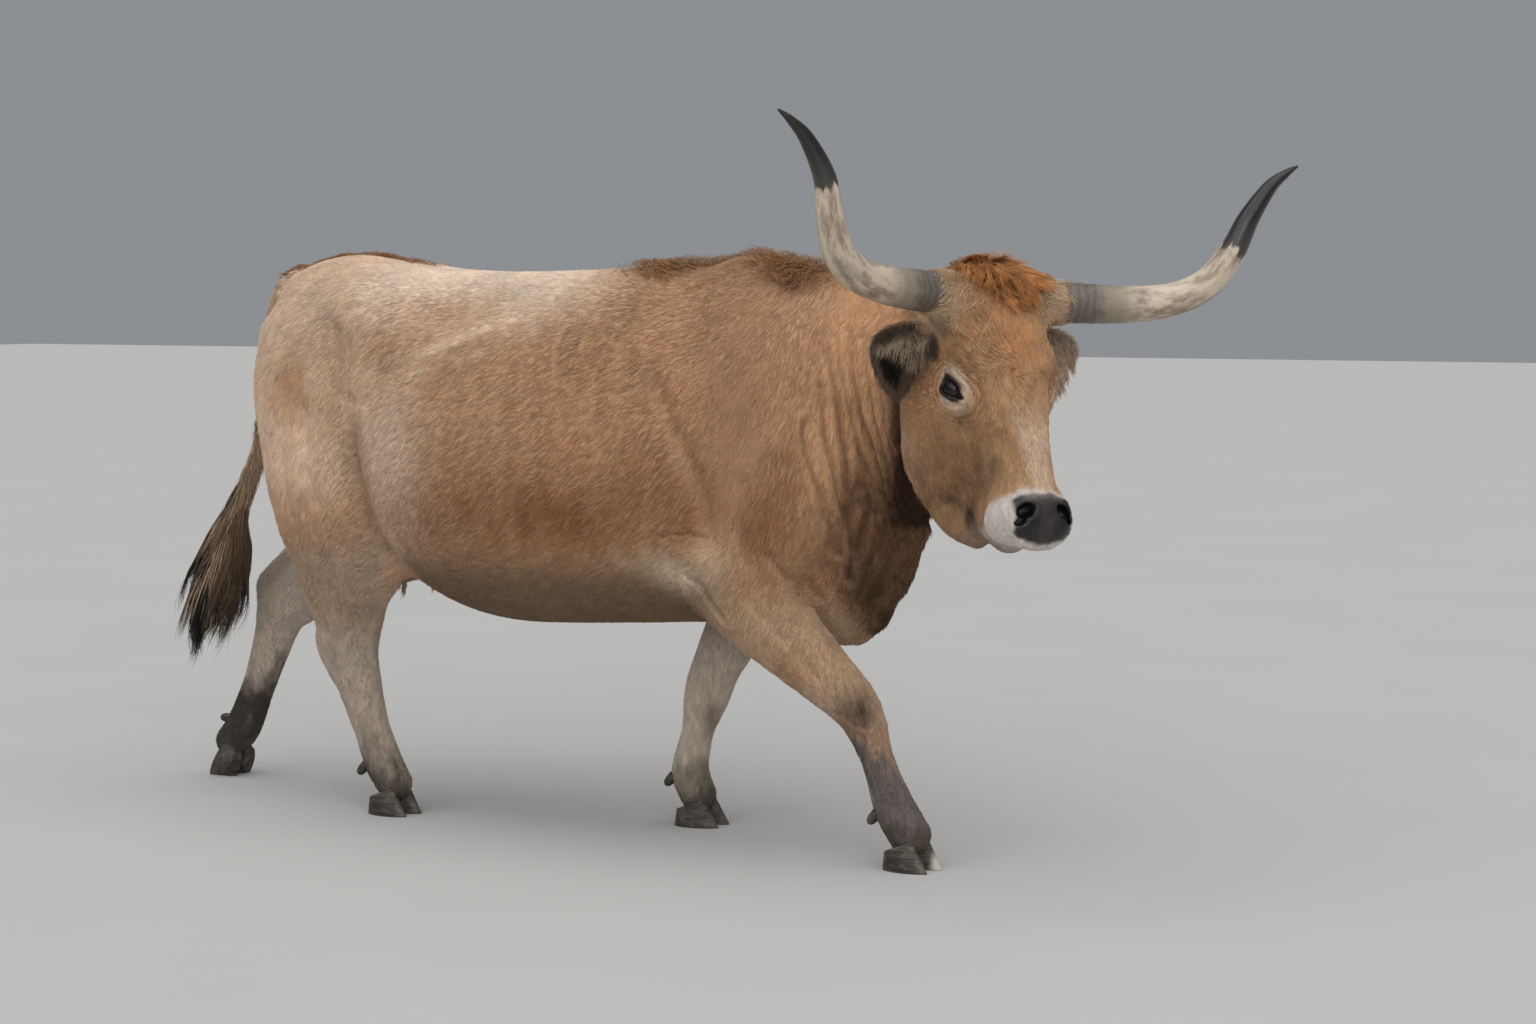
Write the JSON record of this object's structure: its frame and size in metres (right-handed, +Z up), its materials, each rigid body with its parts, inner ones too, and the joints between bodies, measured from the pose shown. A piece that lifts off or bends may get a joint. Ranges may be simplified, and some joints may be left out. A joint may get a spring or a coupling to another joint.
{
  "type": "walking horned cow figure",
  "caption": "Life-size still model of a tan long-horned cow in mid stride, head turned to one side, standing on its own claws.",
  "frame": {"origin": "middle of the base of the bounding box, on the ground under the belly", "axes": "+X the way the cow walks, +Y its left side, +Z up"},
  "size_m": [3.0126, 1.1594, 1.6554],
  "materials": {
    "coat": "short tan hair",
    "leg_coat": "short grey-beige hair, muddy toward the feet",
    "ear_coat": "dark hair, longer inside",
    "long_hair": "long dark brown hair",
    "skin": "bare soft skin",
    "nose": "moist dark bare skin",
    "horn": "ivory horn, grey at the root, black at the tip",
    "claw": "dark grey horn",
    "eye": "wet dark brown"
  },
  "bodies": {
    "root": {"udder": "skin", "tail_dock": "coat", "tail_switch": "long_hair", "horn_right": "horn", "ear_right": "ear_coat", "eye_right": "eye", "horn_left": "horn", "ear_left": "ear_coat", "eye_left": "eye", "head": "coat", "foreleg_right_upper": "leg_coat", "foreleg_right_lower": "leg_coat", "foreleg_left_upper": "leg_coat", "foreleg_left_lower": "leg_coat", "hindleg_right_upper": "leg_coat", "hindleg_right_lower": "leg_coat", "hindleg_left_upper": "leg_coat", "hindleg_left_lower": "leg_coat", "claw_fore_right_outer": "claw", "dewclaw_fore_right_outer": "claw", "claw_fore_right_inner": "claw", "dewclaw_fore_right_inner": "claw", "claw_fore_left_outer": "claw", "dewclaw_fore_left_outer": "claw", "claw_fore_left_inner": "claw", "dewclaw_fore_left_inner": "claw", "claw_hind_right_outer": "claw", "dewclaw_hind_right_outer": "claw", "claw_hind_right_inner": "claw", "dewclaw_hind_right_inner": "claw", "claw_hind_left_outer": "claw", "dewclaw_hind_left_outer": "claw", "claw_hind_left_inner": "claw", "dewclaw_hind_left_inner": "claw", "neck": "coat", "chest": "coat", "hindquarters": "coat", "barrel": "coat"}
  },
  "joints": []
}
